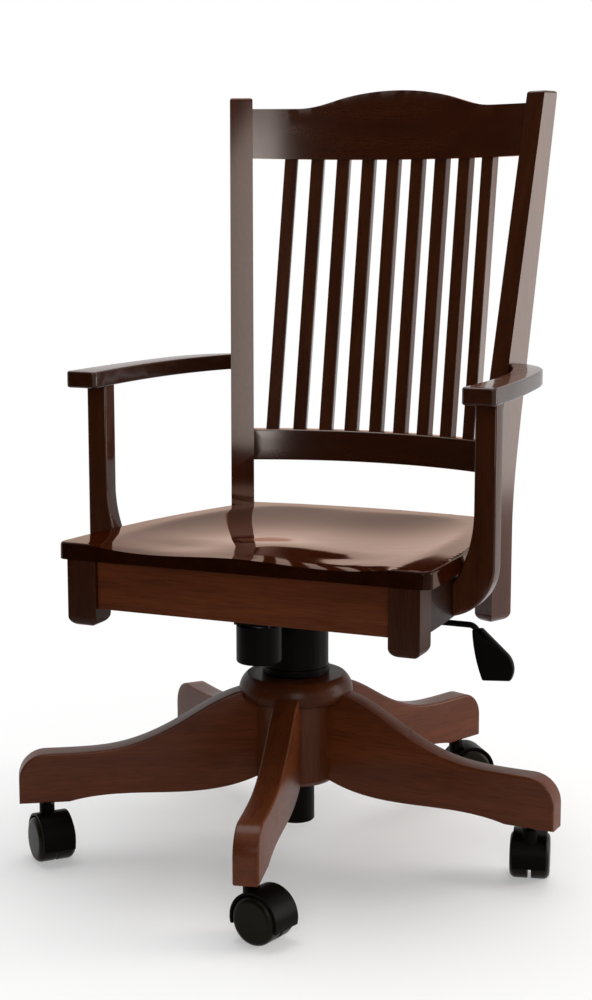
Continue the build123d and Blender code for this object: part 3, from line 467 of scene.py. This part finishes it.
# the left post's own copy of the post finish paints the warm light and shine that fall on it
left_post_stain = stained("left_post_painted_light_wood", upright, shade=0.6)
left_post_painted_light_wood = glaze_with_painted_warm_light(
    left_post_stain, shine=0.42, tint=(1, 0.84, 0.76), rough=0.12, film_rough=0.12
)
slat_wood = lacquer(stained("slat_wood", upright, shade=0.6), coat=0.8, rough=0.1)
joined_wood = lacquer(stained("arm_post_wood", upright, shade=0.5), coat=0.45, rough=0.08)
# edge_shade paints shade on the arms' edges
arm_stain = stained("arm_wood", deep, shade=0.7, edge_shade=0.45)
arm_wood = lacquer(arm_stain, coat=0.5, rough=0.08)
print("wood finishes:", [m.name for m in bpy.data.materials if m.name.endswith("wood")])

# %% [markdown]
# ## Black plastic, nylon and steel
# The covers, knob, paddle and casters are moulded in black with a faint
# texture that breaks the highlight. The lever rod and the column are painted
# black, and the hidden screws and pins are bright. One helper makes them all,
# because a moulded skin and a painted one differ only in grain and gloss.

# %% Moulded skin
cloud_scale = 22
cloud_dark = 0.8
cloud_light = 1.25
sheen_spread = 0.06


def moulded(name, colour, rough, grain, depth, gloss=0.1):
    """A moulded or painted skin with a fine even texture."""
    finish, tree, skin = new_finish(name)
    place = add(tree, "TexCoord")
    speckle = add(tree, "TexNoise", Scale=grain, Detail=3)
    cloud = add(tree, "TexNoise", Scale=cloud_scale)
    for noise in (speckle, cloud):
        tree.links.new(place.outputs["Object"], noise.inputs["Vector"])

    shade = add(tree, "ValToRGB")
    dark, light = shade.color_ramp.elements
    dark.color = tuple(cloud_dark * c for c in colour) + (1,)
    light.color = tuple(cloud_light * c for c in colour) + (1,)
    tree.links.new(cloud.outputs["Fac"], shade.inputs["Fac"])
    tree.links.new(shade.outputs["Color"], skin.inputs["Base Color"])

    sheen = add(tree, "MapRange", To_Min=rough - sheen_spread, To_Max=rough + sheen_spread)
    tree.links.new(speckle.outputs["Fac"], sheen.inputs["Value"])
    tree.links.new(sheen.outputs["Result"], skin.inputs["Roughness"])
    relief = add(tree, "Bump", Strength=0.2, Distance=depth)
    tree.links.new(speckle.outputs["Fac"], relief.inputs["Height"])
    tree.links.new(relief.outputs["Normal"], skin.inputs["Normal"])
    put(skin, Specular_IOR_Level=gloss)
    return finish


print("moulding helper:", moulded.__name__)

# %% Plastic and steel finishes
black_plastic = moulded(
    "black_plastic", (0.0018, 0.0012, 0.0008), rough=0.4, grain=900, depth=0.0002, gloss=0.04
)
wheel_nylon = moulded(
    "wheel_nylon", (0.007, 0.005, 0.0022), rough=0.32, grain=700, depth=0.0001, gloss=0.08
)
black_paint = moulded(
    "black_paint", (0.002, 0.0015, 0.001), rough=0.36, grain=1200, depth=0.0001, gloss=0.05
)
bright_steel = moulded(
    "bright_steel", (0.55, 0.55, 0.54), rough=0.3, grain=1500, depth=0.00005
)
put(bright_steel.node_tree.nodes["Principled BSDF"], Metallic=1)
bushing_white = moulded(
    "bushing_white", (0.6, 0.58, 0.53), rough=0.5, grain=600, depth=0.0001
)
print("other finishes:", black_plastic.name, wheel_nylon.name, black_paint.name, bright_steel.name)

# %% [markdown]
# ## Easing the edges
# A sanded board has no sharp arris: each edge is eased by about a millimetre,
# and that thin round is what catches the light. Rounding every edge in CAD
# would slow it down, so a bevel does it here. The dressed piece is a copy of
# the CAD solid with its corners welded and its flat faces merged, so that the
# bevel runs along real edges only.

# %% Dressing helpers
weld_distance = 2e-6
flat_angle = math.radians(0.02)
sharp_angle = math.radians(30)
board_arris = 0.0012

bodies = frame["record"]["behaviour"]["bodies"]
body_of_node = {node: body for body, group in bodies.items() for node in group}


def welded_copy(node):
    """A bmesh of a CAD node with its corners welded and its flat faces merged."""
    form = bmesh.new()
    form.from_mesh(frame["nodes"][node].data)
    bmesh.ops.remove_doubles(form, verts=form.verts, dist=weld_distance)
    bmesh.ops.dissolve_limit(form, angle_limit=flat_angle, verts=form.verts, edges=form.edges)
    form.normal_update()
    return form


def dress(node, form, finish, arris=board_arris):
    """A smooth piece with eased edges that stands for a CAD node on its body."""
    piece = new_object(node + "_dressed", form, finish)
    faces = piece.data.polygons
    faces.foreach_set("use_smooth", [True] * len(faces))
    piece.data.set_sharp_from_angle(angle=sharp_angle)
    if arris:
        ease = piece.modifiers.new("eased_arris", "BEVEL")
        ease.width = arris
        ease.segments = 3
        ease.limit_method = "ANGLE"
        ease.angle_limit = sharp_angle
        ease.harden_normals = True
    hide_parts(node)
    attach(piece, body_of_node[node])
    return piece


print("pieces to dress:", len(body_of_node))

# %% [markdown]
# ## The saddle seat
# The seat is carved from a thick board: a hollow for the sitter, a pommel at
# the front and a dip for each thigh. A mirror finish shows every facet of the
# CAD's mesh, so the top is split into small faces and faired, as a scraper
# does, with its rim kept. Two soft mounds raise the pommel's low ridge, which
# runs back into the hollow, and two more sink the dips. Sculpting would do as
# well, but four mounds are easy to read and to move.

# %% Saddle helpers
up_facing = 0.9
seat_front = -0.19
rim_taper = 0.04
thigh_x = 0.11
# Each mound has a height, a place in x and y, a width and a depth
mounds = (
    (0.003, 0, -0.07, 0.05, 0.045),
    (0.0045, 0, 0.05, 0.12, 0.08),
    (-0.002, thigh_x, -0.12, 0.04, 0.03),
    (-0.002, -thigh_x, -0.12, 0.04, 0.03),
)


def swell(point, height, x, y, width, depth):
    """The height of a soft mound, centred at x and y, over a point."""
    return height * math.exp(-(((point.x - x) / width) ** 2 + ((point.y - y) / depth) ** 2) / 2)


def saddle(point):
    """The height to add to the seat's top at a point, none at the front edge."""
    fade = min(1, max(0, (point.y - seat_front) / rim_taper))
    rise = sum(swell(point, *mound) for mound in mounds)
    return rise * fade * fade * (3 - 2 * fade)


def on_top(part):
    """Whether all the faces round an edge or a corner look up."""
    return all(face.normal.z > up_facing for face in part.link_faces)


print("mounds on the seat:", len(mounds))

# %% Faired seat
top_spacing = 0.007
splits = 4
scrapes = 6


def top_faces(form):
    """The faces that look up."""
    return [face for face in form.faces if face.normal.z > up_facing]


seat_form = welded_copy("seat")
for _ in range(splits):
    long_edges = [e for e in seat_form.edges if e.calc_length() > top_spacing and on_top(e)]
    bmesh.ops.subdivide_edges(seat_form, edges=long_edges, cuts=1)
    bmesh.ops.triangulate(seat_form, faces=top_faces(seat_form))
    inner_edges = [e for e in seat_form.edges if on_top(e)]
    bmesh.ops.beautify_fill(seat_form, faces=top_faces(seat_form), edges=inner_edges)
    seat_form.normal_update()
top_points = [v for v in seat_form.verts if on_top(v)]
every_way = {"use_axis_x": True, "use_axis_y": True, "use_axis_z": True}
for _ in range(scrapes):
    bmesh.ops.smooth_vert(seat_form, verts=top_points, factor=0.5, **every_way)
for point in top_points:
    point.co.z += saddle(point.co)
print("faired top:", len(top_points), "points")

seat = dress("seat", seat_form, seat_wood)
level = seat.modifiers.new("level_shading", "WEIGHTED_NORMAL")
level.keep_sharp = True

# %% [markdown]
# ## Boards
# Aprons, feet, posts, rails, slats, arms and the turned hub are dressed in one
# loop, each with the finish whose grain runs along it. In the photograph the
# slats and the back posts are a few millimetres broader than the solids, so
# their side faces are moved out before the bevel goes on. Scaling them would
# also shift them across the back, and moving the faces keeps them in place.

# %% Wooden boards
board_finish = {
    "front_apron": apron_wood,
    "rear_apron": apron_wood,
    "right_side_apron": side_painted_shade_wood,
    "left_side_apron": side_painted_shade_wood,
    "right_front_foot": foot_painted_shade_wood,
    "left_front_foot": foot_painted_shade_wood,
    "right_back_post": post_wood,
    "left_back_post": left_post_painted_light_wood,
    "crest_rail": rail_wood,
    "lower_rail": rail_wood,
    "back_slats": slat_wood,
    "right_arm": arm_wood,
    "left_arm": arm_wood,
    "right_arm_post": joined_wood,
    "left_arm_post": joined_wood,
    "arm_bolts": post_wood,
    "hub": hub_wood,
    "hub_ring": ring_wood,
}
left_and_right_growth = {
    "back_slats": (0.0032, 0),
    "right_back_post": (0.002, 0),
    "left_back_post": (0.0015, 0.003),
}


def broaden(form, to_left, to_right):
    """Move the corners that face left or right outwards."""
    for corner in form.verts:
        corner.co.x += to_right if corner.normal.x > 0 else -to_left


for node, finish in board_finish.items():
    form = welded_copy(node)
    if node in left_and_right_growth:
        broaden(form, *left_and_right_growth[node])
    dress(node, form, finish)
print("boards:", len(board_finish), "of which broader:", len(left_and_right_growth))

# %% [markdown]
# ## Legs
# Five S-curved legs are sawn from boards whose grain runs out along the leg.
# Each leg therefore has a finish of its own, turned to the leg's direction, and
# is otherwise a board like the rest.

# %% Legs
leg_count = 5
first_leg_angle = 14.35
straight_ahead = -90

for number in range(1, leg_count + 1):
    angle = first_leg_angle + 360 / leg_count * (number - 1)
    along_leg = (0, 0, math.radians(angle + straight_ahead))
    # painted light: the legs are as light as the aprons for the light they catch
    leg_stain = stained(f"wood_leg_{number}", along_leg, shade=1.05)
    leg_wood = lacquer(leg_stain, coat=0.25, rough=0.25)
    dress(f"leg_{number}", welded_copy(f"leg_{number}"), leg_wood)
print("legs:", leg_count)

# %% [markdown]
# ## Plastic and steel pieces
# The rest of the chair is moulded, pressed or turned. The names of the CAD
# nodes say what each one is, so a short rule picks its finish. Moulded edges
# are crisper than sanded ones and get a smaller bevel. Hidden steel keeps its
# sharp edges.

# %% Plastic and steel pieces
plastic_pieces = ("column_cover_lower", "column_cover_upper", "tension_knob", "lever_paddle")
painted_pieces = ("cylinder_tube", "mechanism_housing", "lever_rod", "seat_plate")
moulded_arris = 0.0004
hood_arris = 0.0006


def hard_finish(node):
    """The finish of a plastic or steel piece, and how far its edges are eased."""
    if "wheel" in node:
        return wheel_nylon, moulded_arris
    if node.startswith("caster_") and node.endswith("fork"):
        return black_plastic, hood_arris
    if node in plastic_pieces:
        return black_plastic, moulded_arris
    if node in painted_pieces:
        return black_paint, moulded_arris
    if node == "guide_bushing":
        return bushing_white, 0
    return bright_steel, 0


for node in body_of_node:
    if node == "seat" or node in board_finish or node.startswith("leg_"):
        continue
    dress(node, welded_copy(node), *hard_finish(node))
